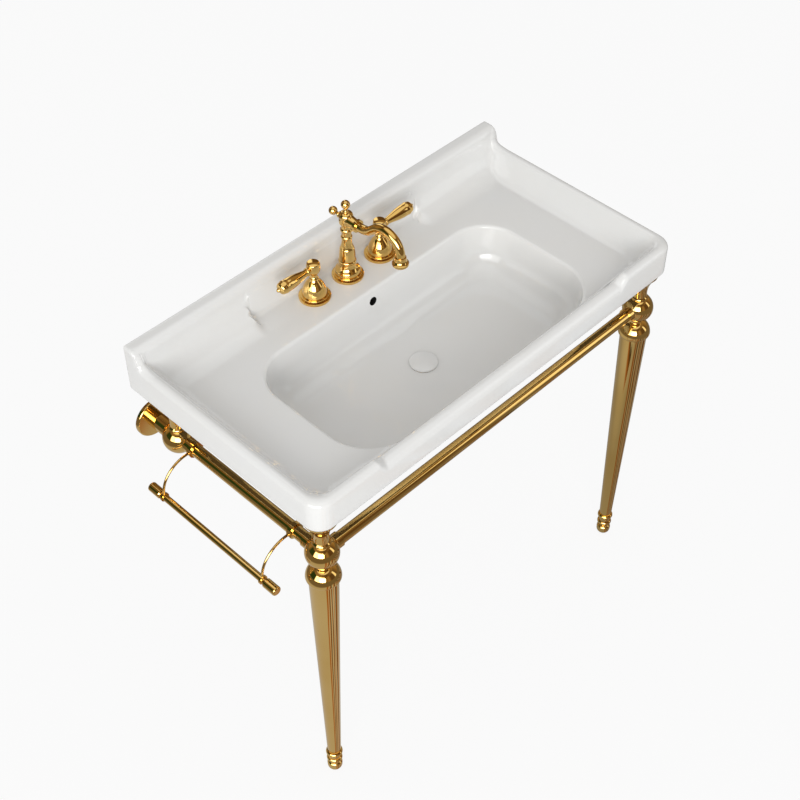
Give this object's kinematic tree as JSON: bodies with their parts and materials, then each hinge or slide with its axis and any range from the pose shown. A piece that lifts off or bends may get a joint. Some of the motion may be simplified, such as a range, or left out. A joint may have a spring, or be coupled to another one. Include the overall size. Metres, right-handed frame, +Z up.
{
  "type": "console sink",
  "caption": "Console sink: a ceramic basin with a back lip on a polished brass stand with turned front legs, rails, a towel bar, a widespread faucet and a drain.",
  "frame": {"origin": "centre between the two bolt holes in the basin's rear skirt, on the wall plane", "axes": "+X to the right as seen from the front, +Y into the wall, +Z up"},
  "size_m": [1.058, 0.524, 1.0706],
  "materials": {
    "ceramic": "white glaze",
    "brass": "polished",
    "rubber": "matt",
    "steel": "plain",
    "copper": "copper tube"
  },
  "bodies": {
    "stand_and_basin": {"aerator": "steel", "ball_front_left": "brass", "ball_front_right": "brass", "ball_rear_left": "brass", "ball_rear_right": "brass", "basin": "ceramic", "cup_studs": "steel", "drain_body": "brass", "drain_gasket": "rubber", "drain_nut": "brass", "faucet_nuts": "brass", "faucet_washers": "rubber", "foot_pads": "rubber", "front_leg_left": "brass", "front_leg_right": "brass", "front_rail": "brass", "handle_base_left": "brass", "handle_base_right": "brass", "leg_collar_left": "brass", "leg_collar_right": "brass", "leg_foot_left": "brass", "leg_foot_right": "brass", "leg_inserts": "brass", "leg_studs": "steel", "mixer_tubes": "copper", "rail_set_screws": "steel", "rail_sleeves": "brass", "side_rail_left": "brass", "side_rail_right": "brass", "spout_base": "brass", "spout_column": "brass", "spout_finial_rear": "brass", "spout_finial_top": "brass", "spout_outlet": "brass", "spout_tube": "brass", "support_cup_front_left": "brass", "support_cup_front_right": "brass", "support_cup_rear_left": "brass", "support_cup_rear_right": "brass", "support_pads": "rubber", "tailpiece": "brass", "towel_arm_front": "brass", "towel_arm_rear": "brass", "towel_bar": "brass", "towel_bar_caps": "brass", "towel_clamp_screws": "steel", "valve_body_left": "brass", "valve_body_right": "brass", "wall_flange_left": "brass", "wall_flange_right": "brass", "wall_flange_screws": "steel", "wall_plates": "brass"},
    "handle_left": {"handle_left": "brass", "valve_stem_left": "brass"},
    "handle_right": {"handle_right": "brass", "valve_stem_right": "brass"},
    "drain_cap": {"drain_cap": "ceramic", "drain_plunger": "brass"}
  },
  "joints": [
    {"name": "handle_left_turn", "type": "hinge", "parent": "stand_and_basin", "child": "handle_left", "pos_m": [-0.092, -0.081, 0.117], "axis": [0, 0, 1], "range_deg": [0, 90]},
    {"name": "handle_right_turn", "type": "hinge", "parent": "stand_and_basin", "child": "handle_right", "pos_m": [0.092, -0.081, 0.117], "axis": [0, 0, 1], "range_deg": [-90, 0]},
    {"name": "drain_cap_lift", "type": "slide", "parent": "stand_and_basin", "child": "drain_cap", "axis": [0, 0, 1], "range_m": [0, 0.01]}
  ]
}
